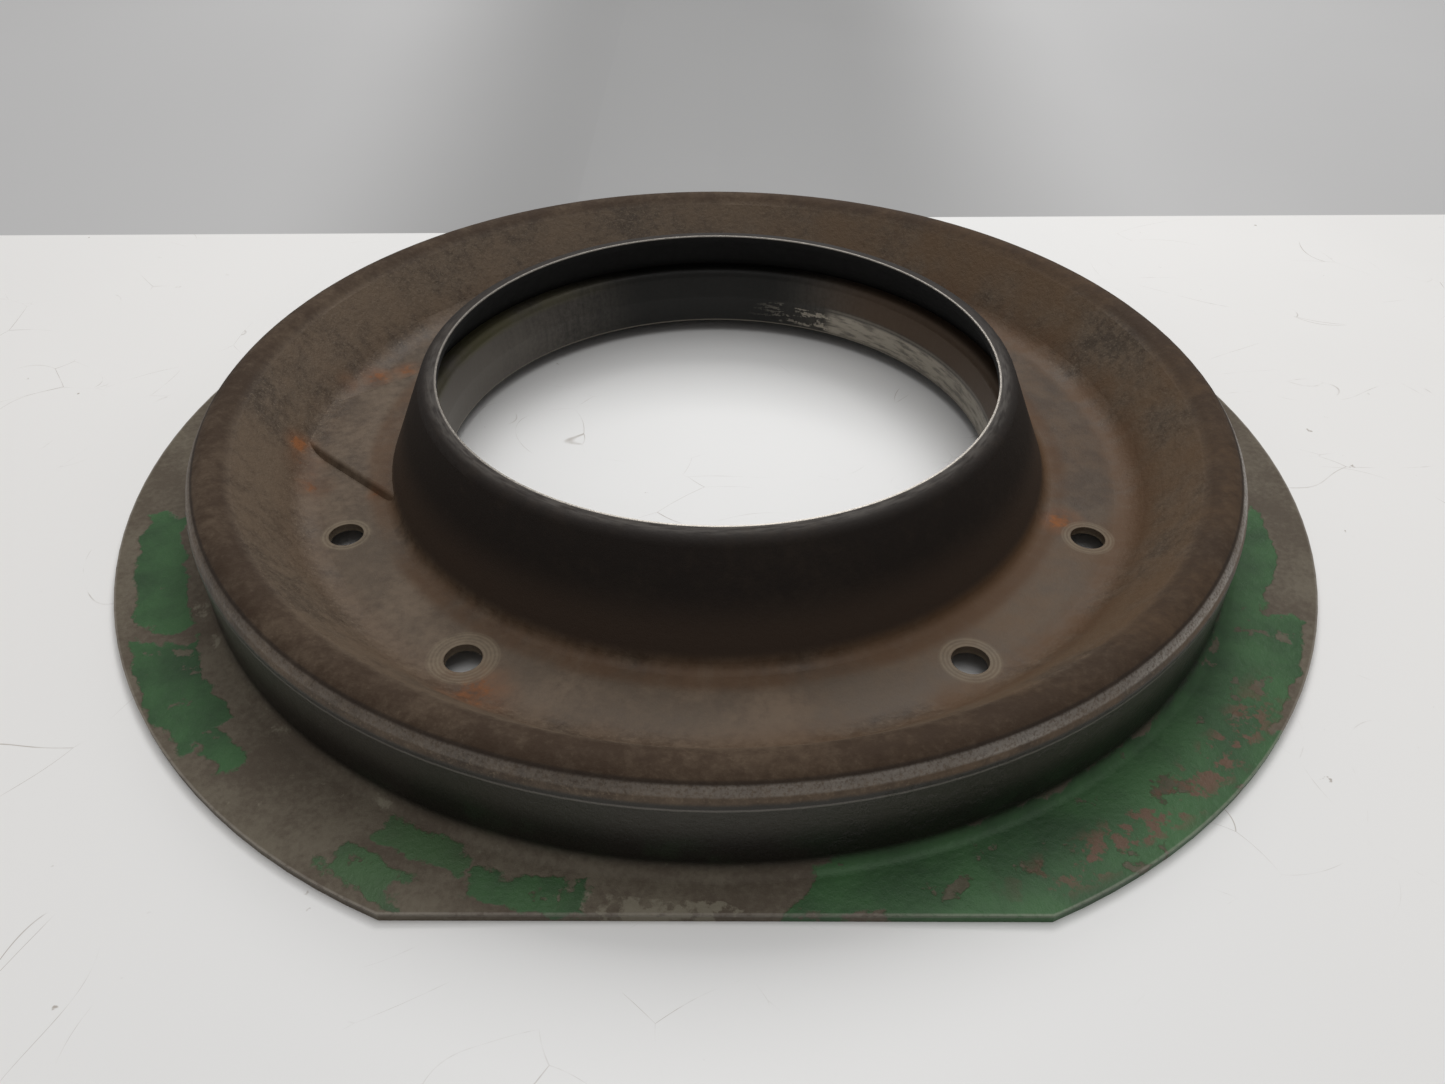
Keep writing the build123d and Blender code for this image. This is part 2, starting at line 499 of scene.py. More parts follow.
    def dress_dish(self, graph: Graph, at: Location) -> tuple[Socket, Socket]:
        """Colours the dish, its seat, the pad, the collar and the lip.

        Args:
            graph: The material's graph.
            at: Where a point lies on the part.

        Returns:
            The colour and the roughness.
        """
        clouds = graph.grain(at.place, 22.0, 7.0, 0.6)
        specks = graph.grain(at.place, 260.0, 5.0, 0.65)
        mottle = graph.grain(at.place, 75.0, 6.0, 0.7)
        drips = self.effects.streaky(graph, at.place, 26.0, 30.0)
        rings = self.effects.streaky(graph, at.place, 5.0, 420.0)
        shares = ((clouds, 0.35), (specks, 0.3), (drips, 0.1), (mottle, 0.25))
        tone = graph.total(*(graph.times(pattern, share) for pattern, share in shares))
        colour = graph.blend(graph.fade(tone, 0.38, 0.62), self.dish_dark, self.dish_light)
        flecks = graph.fade(graph.grain(at.place, 820.0, 3.0, 0.7), 0.52, 0.7)
        flecks = graph.times(flecks, graph.fade(at.radius, *self.fleck_start), 0.45)
        colour = graph.blend(flecks, colour, self.fleck)
        # Painted light: the slope between the bend and the crest is lightened, so it looks as evenly lit as the crest.
        slope = graph.times(graph.fade(at.radius, *self.slope_start), graph.fade(at.radius, *self.slope_end))
        slope = graph.times(slope, graph.fade(tone, 0.4, 0.62, 0.15, 0.75))
        colour = graph.blend(slope, colour, self.slope_painted_light)

        right = graph.fade(at.across, *self.right_side)
        warm = graph.times(graph.fade(right, 0.0, 1.0, 0.3, 1.0), graph.fade(clouds, 0.3, 0.6), 0.8)
        colour = graph.blend(warm, colour, self.dish_warm)

        seat = self.effects.within(graph, at.radius, self.seat)
        front = graph.fade(at.depth, *self.front_side)
        # Painted sheen: the seat turns a lighter grey towards the front, broken up by the clouds.
        grey = graph.times(seat, graph.fade(front, 0.0, 1.0, 0.2, 0.7), graph.fade(clouds, 0.66, 0.4))
        colour = graph.blend(grey, colour, self.seat_painted_sheen)
        brown = graph.times(seat, right, graph.fade(front, 0.0, 1.0, 1.0, 0.35))
        brown = graph.times(brown, graph.fade(mottle, 0.35, 0.62, 0.85, 0.45))
        colour = graph.blend(brown, colour, self.seat_brown)

        # Painted shade: the rim's crest is darkened to a deep brown.
        crest = graph.times(graph.fade(at.height, *self.crest_height), graph.fade(at.radius, *self.crest_start))
        colour = graph.blend(graph.times(crest, graph.fade(tone, 0.38, 0.64, 1.0, 0.5)), colour, self.crest_painted_shade)
        # Painted shade: a thin dark line along the outer edge of the rim's crest.
        crest_line = self.effects.within(graph, at.height, self.crest_line)
        crest_line = graph.times(crest_line, graph.fade(at.radius, *self.crest_outside), 0.6)
        colour = graph.blend(crest_line, colour, self.painted_shade_dark)

        bend = self.effects.within(graph, at.radius, self.bend)
        crease = self.effects.within(graph, at.radius, self.crease)
        line = graph.either(graph.times(bend, graph.fade(right, 0.0, 1.0, 0.2, 0.6)), graph.times(crease, 0.6))
        line = graph.times(line, graph.fade(clouds, 0.3, 0.58), graph.fade(drips, 0.2, 0.55, 0.55, 1.0))
        colour = graph.blend(line, colour, self.bend_rust)
        colour, spots = self.add_rust(graph, at, colour, line)

        collar = graph.times(graph.fade(at.radius, *self.collar_outside), graph.fade(at.height, *self.collar_foot))
        # Painted shade: the collar darkens towards its top, over its own brown.
        shaded = graph.blend(graph.fade(at.height, *self.collar_shading), self.collar_brown, self.painted_shade_dark)
        shaded = graph.blend(graph.times(graph.fade(tone, 0.45, 0.7), 0.4), shaded, self.dish_dark)
        colour = graph.blend(collar, colour, shaded)
        # Painted shadow: the collar's inner wall under the lip and the lip's inner face are near black.
        lean = graph.total(at.radius, graph.times(at.height, self.collar_lean))
        inside = graph.times(graph.fade(lean, *self.cone_inside), graph.fade(at.height, *self.cone_top))
        inside = graph.either(inside, graph.fade(at.radius, *self.lip_face))
        colour = graph.blend(inside, colour, self.painted_recess_shadow)

        colour = self.washer_rings(graph, at.place, colour, specks)
        gloss = graph.total(
            graph.fade(tone, 0.3, 0.7, 0.5, 0.66),
            graph.times(graph.total(line, spots), 0.16),
            graph.times(rings, -0.05),
            graph.times(crest, 0.30),
            graph.times(graph.either(collar, inside), 0.12),
            graph.times(inside, 0.15),
        )
        return colour, gloss

    def add_rust(self, graph: Graph, at: Location, colour: Socket, line: Socket) -> tuple[Socket, Socket]:
        """Adds a thin powder of rust and the brighter spots.

        Args:
            graph: The material's graph.
            at: Where a point lies on the part.
            colour: The colour so far.
            line: The rusty lines along the bends, where the powder is thicker.

        Returns:
            The colour with its rust and the mask of the spots.
        """
        powder = graph.effect(self.effects.rust, Position=at.place, Strength=graph.fade(line, 0.0, 1.0, 0.12, 0.4))
        spots = 0.0
        for centre, reach in self.rust_spots:
            spot = graph.effect(self.effects.bloom, Position=at.place, Centre=centre, Reach=reach)
            spots = graph.either(spots, spot.outputs["Mask"])
        bright = graph.effect(self.effects.rust, Position=at.place, Strength=graph.times(spots, 0.75))
        colour = graph.blend(graph.times(powder.outputs["Mask"], 0.55), colour, powder.outputs["Colour"])
        spots = graph.times(graph.fade(spots, 0.02, 0.75), graph.fade(bright.outputs["Mask"], 0.0, 1.0, 0.35, 1.0))
        return graph.blend(graph.times(spots, 0.72), colour, bright.outputs["Colour"]), spots

    def washer_rings(self, graph: Graph, place: Socket, colour: Socket, specks: Socket) -> Socket:
        """Adds the clean rings that bolt heads left round the holes.

        Args:
            graph: The material's graph.
            place: Object position.
            colour: The colour so far.
            specks: A fine pattern that breaks the rings up.

        Returns:
            The colour with its rings.
        """
        for centre, width in zip(self.hole_centres, self.ring_widths):
            gap = graph.effect(self.effects.bloom, Position=place, Centre=centre, Reach=0.02).outputs["Distance"]
            outer = self.hole_radius + width
            disc = graph.fade(gap, outer, outer + 0.0012, 1.0, 0.0)
            turned = graph.maths(Maths.SINE, graph.times(gap, 4200.0))
            lines = graph.fade(turned, -1.0, 1.0, 0.2, 0.5)
            mask = graph.times(disc, lines, graph.fade(specks, 0.25, 0.6, 0.5, 1.0))
            colour = graph.blend(mask, colour, self.ring)
        return colour

    def dress_flange(self, graph: Graph, at: Location) -> tuple[Socket, Socket, Socket]:
        """Colours the flange with its paint, its bare edge and the drum's wall.

        Args:
            graph: The material's graph.
            at: Where a point lies on the part.

        Returns:
            The colour, the roughness and a height for the bump.
        """
        clouds = graph.grain(at.place, 30.0, 7.0, 0.62)
        specks = graph.grain(at.place, 420.0, 5.0, 0.68)
        pale = graph.fade(graph.total(graph.times(clouds, 0.6), graph.times(specks, 0.4)), 0.4, 0.62)
        colour = graph.blend(pale, self.bare_flange, self.bare_light)

        wander = graph.maths(Maths.SUBTRACT, graph.grain(at.place, 38.0, 8.0, 0.62), 0.5)
        stray = graph.maths(Maths.SUBTRACT, graph.grain(at.place, 23.0, 8.0, 0.6), 0.5)
        moved = graph.total(at.radius, graph.times(wander, 0.026))
        turned = graph.total(at.bearing, graph.times(stray, 17.0))
        paint = 0.0
        for patch in self.paint_left:
            round_it = self.effects.within(graph, turned, patch.turn())
            over_it = self.effects.within(graph, moved, patch.reach())
            paint = graph.either(paint, graph.times(round_it, over_it, patch.strength))
        chips = self.effects.ragged(graph, at.place, 70.0, 0.40, 0.04)
        paint = graph.times(paint, graph.rest_of(graph.times(chips, 0.85)))

        foot = graph.times(graph.fade(at.radius, 0.242, 0.234), graph.fade(at.depth, 0.05, -0.1))
        foot = graph.times(foot, graph.fade(at.across, 0.14, -0.02))
        shelf = self.effects.within(graph, turned, self.shelf_turn)
        shelf = graph.times(shelf, graph.fade(at.radius, 0.237, 0.240), graph.fade(moved, 0.249, 0.247))
        cover = graph.fade(graph.either(graph.times(foot, 0.4), shelf), 0.0, 1.0, 0.3, 0.56)
        crusty = self.effects.ragged(graph, at.place, 90.0, cover, 0.08)
        colour = graph.blend(graph.times(crusty, 0.75), colour, self.crust)
        green = graph.blend(graph.fade(clouds, 0.35, 0.7), self.paint, self.paint_dark)
        colour = graph.blend(paint, colour, green)

        track = self.effects.within(graph, at.radius, self.scrape_track)
        stretch = self.effects.within(graph, at.bearing, self.scrape_turn)
        scraped = graph.times(track, stretch, self.effects.ragged(graph, at.place, 120.0, 0.50, 0.06))
        colour = graph.blend(scraped, colour, self.scrape)

        wall = graph.fade(at.height, *self.wall_foot)
        # Painted shade: the wall darkens towards its foot by the flange.
        dull = graph.blend(graph.fade(at.height, *self.wall_shading), self.wall_grey, self.wall_painted_shade)
        stained = graph.times(graph.fade(clouds, 0.5, 0.75, 0.0, 0.35), graph.fade(at.height, *self.wall_stains))
        dull = graph.blend(stained, dull, self.paint_dark)
        # Painted reflection: a darker band on the rim's round, just above the wall.
        dull = graph.blend(graph.fade(at.height, *self.rim_foot), dull, self.rim_painted_reflection)
        # Painted reflection: a thin bright line at the top of the wall, under the rim's round.
        wall_top_painted_reflection = self.effects.within(graph, at.height, self.wall_top_painted_reflection)
        dull = graph.blend(graph.times(wall_top_painted_reflection, 0.32), dull, self.worn_and_highlight_steel)
        colour = graph.blend(wall, colour, dull)

        edge = graph.either(graph.fade(at.radius, *self.round_edge), graph.fade(at.depth, *self.flat_edge))
        edge = graph.times(edge, graph.fade(at.height, *self.edge_height), graph.fade(specks, 0.3, 0.5, 0.4, 1.0))
        colour = graph.blend(graph.times(edge, 0.3), colour, self.worn_and_highlight_steel)

        gloss = graph.fade(wall, 0.0, 1.0, graph.fade(paint, 0.0, 1.0, 0.6, 0.42), 0.36)
        lift = graph.total(graph.times(paint, 0.6), graph.times(specks, 0.5))
        return colour, gloss, lift

    def rim_wear_and_highlight(self, graph: Graph, at: Location) -> Socket:
        """Finds where the drum's outer rim is rubbed bright, made strongest at the front right as a painted highlight.

        Args:
            graph: The material's graph.
            at: Where a point lies on the part.

        Returns:
            The mask of rubbed metal and painted highlight.
        """
        line = self.effects.within(graph, at.height, self.rim_line)
        outer = graph.fade(at.radius, *self.rim_outside)
        grains = graph.fade(graph.grain(at.place, 900.0, 4.0, 0.7), 0.34, 0.58, 0.3, 1.0)
        runs = graph.fade(graph.grain(at.place, 30.0, 4.0, 0.6), 0.35, 0.6, 0.6, 1.0)
        # Painted highlight: the band is weighted towards the front right.
        corner = graph.times(graph.fade(at.across, -0.06, 0.11, 0.35, 1.0), graph.fade(at.depth, 0.1, -0.1, 0.3, 1.0))
        return graph.times(line, outer, grains, runs, corner)

    def lip_wear_and_highlight(self, graph: Graph, at: Location) -> Socket:
        """Finds where the lip's top and inner corner are rubbed bright; the top's brightening, weighted towards the
        front, is partly a painted highlight.

        Args:
            graph: The material's graph.
            at: Where a point lies on the part.

        Returns:
            The mask of rubbed metal and painted highlight.
        """
        top = graph.times(graph.fade(at.height, *self.lip_height), graph.fade(at.radius, *self.lip_outside))
        corner = graph.times(graph.fade(at.radius, *self.lip_inside), graph.fade(at.height, *self.lip_corner))
        broken = graph.fade(self.effects.streaky(graph, at.place, 14.0, 900.0), 0.3, 0.65, 0.0, 0.18)
        # Painted highlight: the top brightens towards the front; the inner corner is rubbed metal.
        return graph.either(graph.times(top, broken, graph.fade(at.depth, 0.06, -0.03, 0.15, 1.0)), corner)


@dataclass(frozen=True)
class RubbedSleeve:
    """Dark sleeve steel, rubbed bright and pitted on part of its straight band."""

    effects: Effects
    name: str = "rubbed_sleeve"
    dark: Colour = shade(60, 56, 52)
    light: Colour = shade(92, 87, 80)
    left: Colour = shade(112, 106, 98)
    rear_painted_shade: Colour = shade(26, 26, 24)
    rubbed: Colour = shade(172, 164, 150)
    flare_brown_and_reflection: Colour = shade(88, 70, 54)
    film: Colour = shade(96, 92, 68)
    left_lit_side: Span = (125.0, 165.0)
    right_side: Span = (72.0, 48.0)
    flare_height: Span = (0.0135, 0.0165)
    film_height: Span = (0.0225, 0.0265)
    film_side: Span = (110.0, 150.0)
    rub_end: Span = (63.0, 60.0)
    fleck_end: Span = (84.0, 62.0)
    rub_start: Span = (-40.0, -15.0)
    mouth_height: Span = (0.0007, 0.0003)
    rear_shade_turn: Band = Band(93.0, 14.0, 28.0)
    straight: Band = Band(0.0068, 0.0048, 0.0022)
    crest_line: Band = Band(0.0142, 0.0003, 0.0006)

    def build(self) -> Finish:
        """Builds the material.

        Returns:
            The finished material.
        """
        material, graph, shader, place = start_finish(self.name)
        at = self.effects.locate(graph, place)
        clouds = graph.grain(place, 26.0, 6.0, 0.6)
        specks = graph.grain(place, 480.0, 4.0, 0.65)
        runs = self.effects.streaky(graph, place, 12.0, 520.0)
        drips = self.effects.streaky(graph, place, 60.0, 24.0)

        tone = graph.total(graph.times(clouds, 0.4), graph.times(drips, 0.25), graph.times(specks, 0.35))
        colour = graph.blend(graph.fade(tone, 0.36, 0.64), self.dark, self.light)
        # Painted light: the sleeve's left side is lighter.
        colour = graph.blend(graph.fade(at.bearing, *self.left_lit_side, 0.0, 0.8), colour, self.left)
        # Painted shade: the back of the sleeve is near black.
        rear_painted_shade = self.effects.within(graph, at.bearing, self.rear_shade_turn)
        colour = graph.blend(graph.times(rear_painted_shade, 0.95), colour, self.rear_painted_shade)
        # Brown on the upper flare away from the back: partly the flare's own brown and partly a painted reflection.
        upper = graph.fade(at.height, *self.flare_height)
        upper = graph.times(upper, graph.fade(at.bearing, *self.right_side, 0.0, 0.85))
        colour = graph.blend(upper, colour, self.flare_brown_and_reflection)
        film = graph.times(graph.fade(at.height, *self.film_height), graph.fade(at.bearing, *self.film_side))
        colour = graph.blend(graph.times(film, graph.fade(clouds, 0.35, 0.6)), colour, self.film)

        started = graph.fade(at.bearing, *self.rub_start)
        sector = graph.times(graph.fade(at.bearing, *self.rub_end), started)
        flecks = graph.times(graph.fade(at.bearing, *self.fleck_end), started)
        straight = self.effects.within(graph, at.height, self.straight)
        crest = self.effects.within(graph, at.height, self.crest_line)
        fret = graph.total(0.35, graph.times(graph.fade(runs, 0.34, 0.56), 0.65))
        broken = graph.fade(graph.total(runs, graph.times(specks, 0.5)), 0.78, 0.86)
        rub = graph.either(graph.times(sector, fret), graph.times(flecks, broken))
        rub = graph.either(graph.times(rub, straight), graph.times(crest, sector, 0.3))
        pits = graph.effect(self.effects.pits, Position=place, Scale=620.0, Cover=0.42)
        rub = graph.times(rub, graph.rest_of(pits.outputs["Mask"]))
        rub = graph.either(rub, graph.times(graph.fade(at.height, *self.mouth_height), 0.6))
        colour = graph.blend(graph.times(rub, 0.85), colour, self.rubbed)

        powder = graph.effect(self.effects.rust, Position=place, Strength=0.08)
        colour = graph.blend(graph.times(powder.outputs["Mask"], 0.35), colour, powder.outputs["Colour"])
        lift = graph.total(graph.times(pits.outputs["Height"], 0.35), graph.times(runs, 0.3))
        bump = graph.node("ShaderNodeBump", {"Strength": 0.5, "Distance": 0.0004, "Height": lift})
        graph.feed(shader.inputs["Base Color"], colour)
        graph.feed(shader.inputs["Roughness"], graph.fade(rub, 0.0, 1.0, 0.44, 0.36))
        graph.feed(shader.inputs["Metallic"], graph.fade(rub, 0.0, 1.0, 0.45, 0.85))
        graph.feed(shader.inputs["Normal"], bump.outputs[0])
        return material


@dataclass(frozen=True)
class WeldMetal:
    """Weld metal: grey and brown specks under a powder of rust."""

    effects: Effects
    name: str = "weld_metal"
    grey: Colour = shade(96, 90, 84)
    brown: Colour = shade(66, 50, 38)

    def build(self) -> Finish:
        """Builds the material.

        Returns:
            The finished material.
        """
        material, graph, shader, place = start_finish(self.name)
        specks = graph.grain(place, 700.0, 4.0, 0.6)
        powder = graph.effect(self.effects.rust, Position=place, Strength=0.35)
        colour = graph.blend(graph.fade(specks, 0.35, 0.65), self.brown, self.grey)
        colour = graph.blend(graph.times(powder.outputs["Mask"], 0.7), colour, powder.outputs["Colour"])
        bump = graph.node("ShaderNodeBump", {"Strength": 0.5, "Distance": 0.0003, "Height": specks})
        graph.feed(shader.inputs["Base Color"], colour)
        graph.feed(shader.inputs["Roughness"], graph.fade(powder.outputs["Mask"], 0.0, 1.0, 0.4, 0.75))
        shader.inputs["Metallic"].default_value = 0.5
        graph.feed(shader.inputs["Normal"], bump.outputs[0])
        return material


@dataclass(frozen=True)
class PaleSheet:
    """A pale surface with a painted shade in its middle behind the part, faint scratches and crumbs, for the table and
    the backdrop.
    """

    name: str
    colour: Colour
    # The colour of the painted shade in the middle.
    middle: Colour
    mark: Colour
    scratch: float = 0.6
    painted_shade_reach: Span = (0.1, 0.32)
    line_width: float = 0.0045

    def build(self) -> Finish:
        """Builds the material.

        Returns:
            The finished material.
        """
        material, graph, shader, place = start_finish(self.name)
        clouds = graph.grain(place, 3.0, 5.0, 0.55)
        bent = graph.node("ShaderNodeTexNoise", {"Vector": place, "Scale": 3.0, "Detail": 2.0}).outputs[1]
        lines = graph.node("ShaderNodeTexVoronoi", {"Vector": bent, "Scale": 16.0}, feature="DISTANCE_TO_EDGE")
        thin = graph.fade(lines.outputs[0], 0.0, self.line_width, 1.0, 0.0)
        gaps = graph.fade(graph.grain(place, 12.0, 5.0, 0.65), 0.53, 0.66)
        across = graph.node("ShaderNodeSeparateXYZ", {0: place}).outputs[0]
        # Painted shade: the sheet darkens in its middle, behind the part.
        middle = graph.fade(graph.maths(Maths.DISTANCE, across), *self.painted_shade_reach, 1.0, 0.0)
        colour = graph.blend(middle, self.colour, self.middle)
        crumbs = graph.fade(graph.grain(place, 130.0, 3.0, 0.6), 0.715, 0.76)
        stained = graph.fade(graph.grain(place, 6.0, 3.0, 0.5), 0.45, 0.6)
        colour = graph.blend(graph.times(crumbs, stained, self.scratch), colour, self.mark)
        colour = graph.blend(graph.times(thin, gaps, self.scratch), colour, self.mark)
        graph.feed(shader.inputs["Base Color"], colour)
        graph.feed(shader.inputs["Roughness"], graph.fade(clouds, 0.3, 0.7, 0.4, 0.5))
        return material


def to_piece(mesh: bmesh.types.BMesh, name: str) -> Piece:
    """Turns a finished mesh into an object in the scene.

    Args:
        mesh: The mesh, which is freed.
        name: The object's name.

    Returns:
        The object.
    """
    data = bpy.data.meshes.new(name)
    mesh.to_mesh(data)
    mesh.free()
    piece = bpy.data.objects.new(name, data)
    bpy.context.collection.objects.link(piece)
    return piece


def give_finish(piece: Piece, finish: Finish) -> None:
    """Puts a finish in each of a piece's material slots.

    Args:
        piece: The piece.
        finish: Its material.
    """
    if not piece.material_slots:
        piece.data.materials.append(finish)
    for slot in piece.material_slots:
        slot.material = finish


@dataclass
class PressedShell:
    """The one-piece pressing: flange, drum, dish, pad, collar and lip."""

    node: str = "pressed_shell"
    seat_height: float = 0.005
    hole_circle: float = 0.1725
    hole_radius: float = 0.00715
    hole_bearings: tuple[float, ...] = (-155.0, -123.0, -57.0, -25.0)
    ring_widths: tuple[float, ...] = (0.0025, 0.0058, 0.0040, 0.0030)
    rust_spots: tuple[tuple[Point, float], ...] = (
        ((-0.1935, -0.0150, 0.009), 0.014),
        ((-0.1870, -0.0270, 0.007), 0.016),
        ((-0.1790, -0.0400, 0.006), 0.014),
        ((-0.1880, 0.0430, 0.006), 0.012),
        ((-0.1740, 0.0530, 0.006), 0.014),
        ((-0.1600, 0.0610, 0.006), 0.014),
        ((-0.1500, -0.0450, 0.006), 0.008),
        ((-0.0881, -0.1629, 0.005), 0.026),
        ((0.1480, -0.0620, 0.006), 0.016),
    )
    paint_left: tuple[PaintPatch, ...] = (
        PaintPatch(-160.0, 8.0, 0.238, 0.258),
        PaintPatch(-143.0, 6.5, 0.240, 0.262),
        PaintPatch(-134.0, 3.0, 0.247, 0.256),
        PaintPatch(-113.0, 3.0, 0.235, 0.242, 0.8),
        PaintPatch(-115.0, 2.4, 0.249, 0.260, 0.85),
        PaintPatch(-104.0, 5.0, 0.238, 0.249, 0.95),
        PaintPatch(-78.0, 6.0, 0.230, 0.246),
        PaintPatch(-60.0, 18.0, 0.229, 0.275),
        PaintPatch(-36.0, 11.0, 0.229, 0.260),
        PaintPatch(-21.0, 12.0, 0.229, 0.248),
    )

    def hole_centres(self) -> tuple[Point, ...]:
        """The bolt holes' centres on the seat."""
        turns = [math.radians(bearing) for bearing in self.hole_bearings]
        return tuple((self.hole_circle * math.cos(t), self.hole_circle * math.sin(t), self.seat_height) for t in turns)

    def dress(self, effects: Effects) -> Piece:
        """Puts the rusty finish on the shell.

        Args:
            effects: The shared effects.

        Returns:
            The shell's object.
        """
        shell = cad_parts[self.node]
        holes = self.hole_centres()
        finish = RustySheet(effects, holes, self.ring_widths, self.hole_radius, self.rust_spots, self.paint_left)
        give_finish(shell, finish.build())
        return shell


@dataclass
class InnerSleeve:
    """The flared sleeve inside the collar."""

    node: str = "inner_sleeve"

    def dress(self, effects: Effects) -> Piece:
        """Puts the rubbed finish on the sleeve.

        Args:
            effects: The shared effects.

        Returns:
            The sleeve's object.
        """
        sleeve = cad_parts[self.node]
        give_finish(sleeve, RubbedSleeve(effects).build())
        return sleeve


@dataclass
class StitchWelds:
    """Rippled weld beads in the corner under the sleeve's turned-out top."""

    node: str = "sleeve_welds"
    count: int = 8
    arc: float = 20.0
    centre_radius: float = 0.1362
    centre_height: float = 0.0251
    bead_radius: float = 0.0014
    ripples: int = 22
    ripple_depth: float = 0.16
    ripple_steps: int = 4
    end_size: float = 0.35
    end_growth: float = 9.0
    sides: int = 14

    def model(self) -> Piece:
        """Builds every bead as one piece.

        Returns:
            The beads' object.
        """
        mesh = bmesh.new()
        for bead in range(self.count):
            self.add_bead(mesh, 360.0 / self.count * bead)
        bmesh.ops.recalc_face_normals(mesh, faces=mesh.faces)
        beads = to_piece(mesh, "weld_beads")
        for face in beads.data.polygons:
            face.use_smooth = True
        return beads

    def add_bead(self, mesh: bmesh.types.BMesh, start: float) -> None:
        """Sweeps one bead round the axis, swelling and shrinking it for its ripples.

        Args:
            mesh: The mesh it is added to.
            start: The bearing where it starts, in degrees.
        """
        steps = self.ripples * self.ripple_steps
        turn = math.radians(self.arc) / steps
        place = Matrix.Translation((self.centre_radius, 0.0, self.centre_height)) @ Matrix.Rotation(math.pi / 2, 4, "X")
        turned = Matrix.Rotation(math.radians(start), 4, "Z") @ place
        ring = bmesh.ops.create_circle(mesh, segments=self.sides, radius=self.bead_radius, matrix=turned)["verts"]
        first = list({edge for vert in ring for edge in vert.link_edges})
        self.resize(mesh, ring, self.swell(0, steps))
        bmesh.ops.contextual_create(mesh, geom=first)
        loop = first
        for step in range(1, steps + 1):
            swept = bmesh.ops.spin(mesh, geom=loop, cent=(0, 0, 0), axis=(0, 0, 1), angle=turn, steps=1)["geom_last"]
            loop = [item for item in swept if isinstance(item, bmesh.types.BMEdge)]
            ring = [item for item in swept if isinstance(item, bmesh.types.BMVert)]
            self.resize(mesh, ring, self.swell(step, steps) / self.swell(step - 1, steps))
        bmesh.ops.contextual_create(mesh, geom=loop)

    def swell(self, step: int, steps: int) -> float:
        """The bead's size at a step: full along its run, rippled, and smaller at both ends.

        Args:
            step: The step along the bead.
            steps: How many steps it has.

        Returns:
            Its size as a share of the full section.
        """
        share = step / steps
        taper = min(1.0, self.end_size + self.end_growth * min(share, 1.0 - share))
        return taper * (1.0 - self.ripple_depth * abs(math.sin(math.pi * share * self.ripples)))

    @staticmethod
    def resize(mesh: bmesh.types.BMesh, ring: list[bmesh.types.BMVert], factor: float) -> None:
        """Scales a ring about its own middle.

        Args:
            mesh: The mesh it belongs to.
            ring: Its vertices.
            factor: How much larger it gets.
        """
        middle = sum((vert.co for vert in ring), Vector()) / len(ring)
        bmesh.ops.scale(mesh, verts=ring, vec=(factor,) * 3, space=Matrix.Translation(-middle))

    def dress(self, effects: Effects) -> Piece:
        """Models the beads, gives them their finish and puts them on the body.

        Args:
            effects: The shared effects.

        Returns:
            The beads' object.
        """
        beads = self.model()
        give_finish(beads, WeldMetal(effects).build())
        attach(beads, BODY)
        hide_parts(self.node)
        return beads


@dataclass(frozen=True)
class SoftLight:
    """A square soft light that faces the part."""

    name: str
    place: Point
    size: float
    power: float


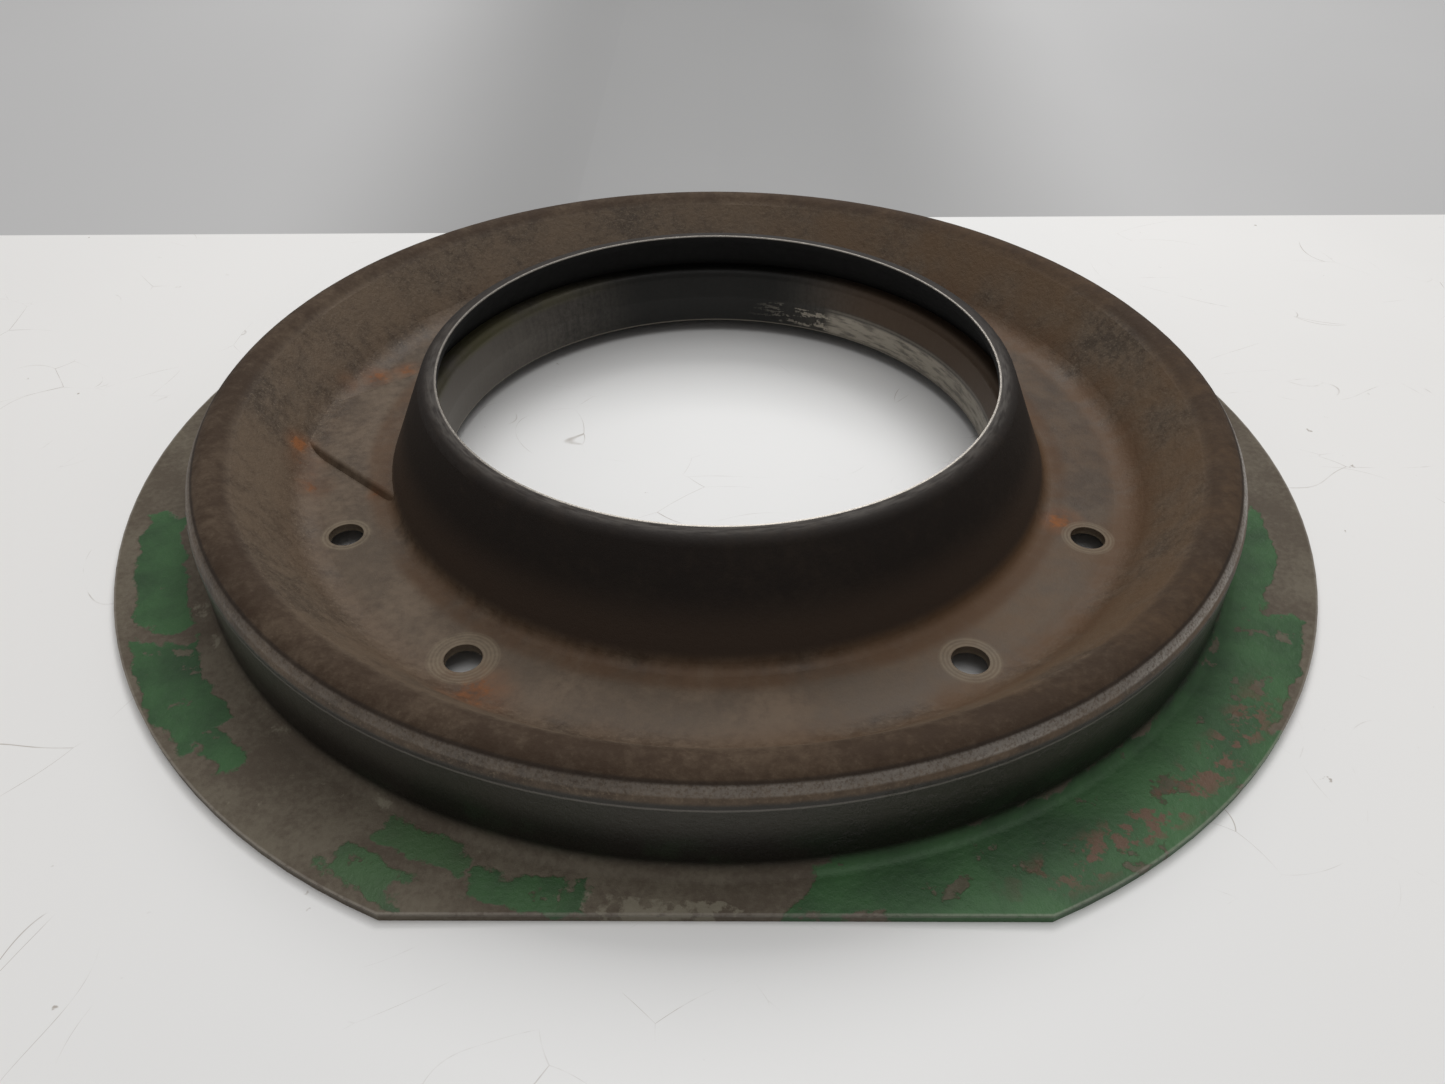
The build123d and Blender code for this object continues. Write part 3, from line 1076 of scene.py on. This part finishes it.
@dataclass
class Studio:
    """The pale table, the backdrop behind it, the soft lights, the camera and the room's even light."""

    table_height: float = -0.0075
    table_back: float = 0.275
    room: float = 3.0
    edge_pieces: int = 60
    edge_turn: float = 0.026
    edge_step: float = 0.011
    backdrop_rise: float = 0.12
    table: Colour = shade(240, 239, 237)
    table_painted_shade: Colour = shade(236, 236, 235)
    backdrop: Colour = shade(192, 192, 192)
    backdrop_painted_shadow: Colour = shade(143, 143, 143)
    mark: Colour = shade(120, 98, 72)
    camera_place: Point = (0.0, -0.4241, 0.2931)
    camera_target: Point = (0.0021, -0.0707, 0.0)
    camera_roll: float = 0.0080
    lens: float = 26.84
    sensor_width: float = 36.0
    nearest: float = 0.01
    air: Colour = shade(208, 206, 205)
    air_strength: float = 0.42
    lights: tuple[SoftLight, ...] = (
        SoftLight("window", (0.15, 1.30, 1.50), 1.00, 16.0),
        SoftLight("ceiling", (0.15, 0.10, 2.20), 2.40, 25.0),
    )

    def build(self) -> None:
        """Builds the table, the backdrop, the lights and the camera."""
        top = self.slab("table", -self.room, self.table_back, 0.0)
        give_finish(top, PaleSheet("pale_table", self.table, self.table_painted_shade, self.mark).build())
        behind = self.slab("backdrop", self.table_back, self.room, self.backdrop_rise)
        give_finish(behind, PaleSheet("pale_backdrop", self.backdrop, self.backdrop_painted_shadow, self.mark, 0.0).build())
        for light in self.lights:
            self.add_light(light)
        self.add_camera()
        self.add_room()

    def slab(self, name: str, near: float, far: float, rise: float) -> Piece:
        """Lays a flat sheet that can rise towards its far edge.

        The edge that the two sheets share runs slightly aslant, with a step at its middle, which the part hides.

        Args:
            name: The sheet's name.
            near: Its near edge.
            far: Its far edge.
            rise: How far its far edge rises for each metre.

        Returns:
            The sheet's object.
        """
        mesh = bmesh.new()
        middle, half = (near + far) / 2, (far - near) / 2
        place = Matrix.Translation((0.0, middle, self.table_height))
        spread = place @ Matrix.Diagonal((self.room, half, 1.0, 1.0))
        bmesh.ops.create_grid(mesh, x_segments=self.edge_pieces, y_segments=1, size=1.0, matrix=spread)
        back = [vert for vert in mesh.verts if vert.co.y > middle]
        bmesh.ops.translate(mesh, verts=back, vec=(0.0, 0.0, rise * (far - near)))
        shared = [vert for vert in mesh.verts if abs(vert.co.y - self.table_back) < self.table_back / 2]
        for vert in shared:
            vert.co.y += self.edge_turn * vert.co.x + math.copysign(self.edge_step, vert.co.x)
        sheet = to_piece(mesh, name)
        return sheet

    @staticmethod
    def add_light(light: SoftLight) -> None:
        """Adds a soft light and turns it to the part.

        Args:
            light: Its name, where it stands, its side in metres and its power in watts.
        """
        lamp = bpy.data.lights.new(light.name, "AREA")
        lamp.size = light.size
        lamp.energy = light.power
        holder = bpy.data.objects.new(light.name, lamp)
        holder.location = light.place
        holder.rotation_euler = (-Vector(light.place)).to_track_quat("-Z", "Y").to_euler()
        bpy.context.collection.objects.link(holder)

    def add_camera(self) -> None:
        """Adds the camera and makes it the scene's own."""
        lens = bpy.data.cameras.new("camera")
        lens.sensor_width = self.sensor_width
        lens.lens = self.lens
        lens.clip_start = self.nearest
        holder = bpy.data.objects.new("camera", lens)
        place = Vector(self.camera_place)
        aim = (Vector(self.camera_target) - place).to_track_quat("-Z", "Y").to_matrix().to_4x4()
        holder.matrix_world = Matrix.Translation(place) @ aim @ Matrix.Rotation(self.camera_roll, 4, "Z")
        bpy.context.collection.objects.link(holder)
        bpy.context.scene.camera = holder

    def add_room(self) -> None:
        """Gives the room a dim, even light and sets how the picture turns light into colour."""
        world = bpy.data.worlds.new("room")
        world.use_nodes = True
        sky = world.node_tree.nodes["Background"]
        sky.inputs["Color"].default_value = self.air
        sky.inputs["Strength"].default_value = self.air_strength
        bpy.context.scene.world = world
        bpy.context.scene.view_settings.view_transform = "Standard"


def main() -> None:
    """Builds the part's finishes and new pieces, then the studio round it."""
    logging.basicConfig(level=logging.INFO)
    effects = Effects()
    for assembly in (PressedShell(), InnerSleeve(), StitchWelds()):
        piece = assembly.dress(effects)
        log.info("%s: %d faces", piece.name, len(piece.data.polygons))
    Studio().build()


if __name__ == "__main__":
    main()
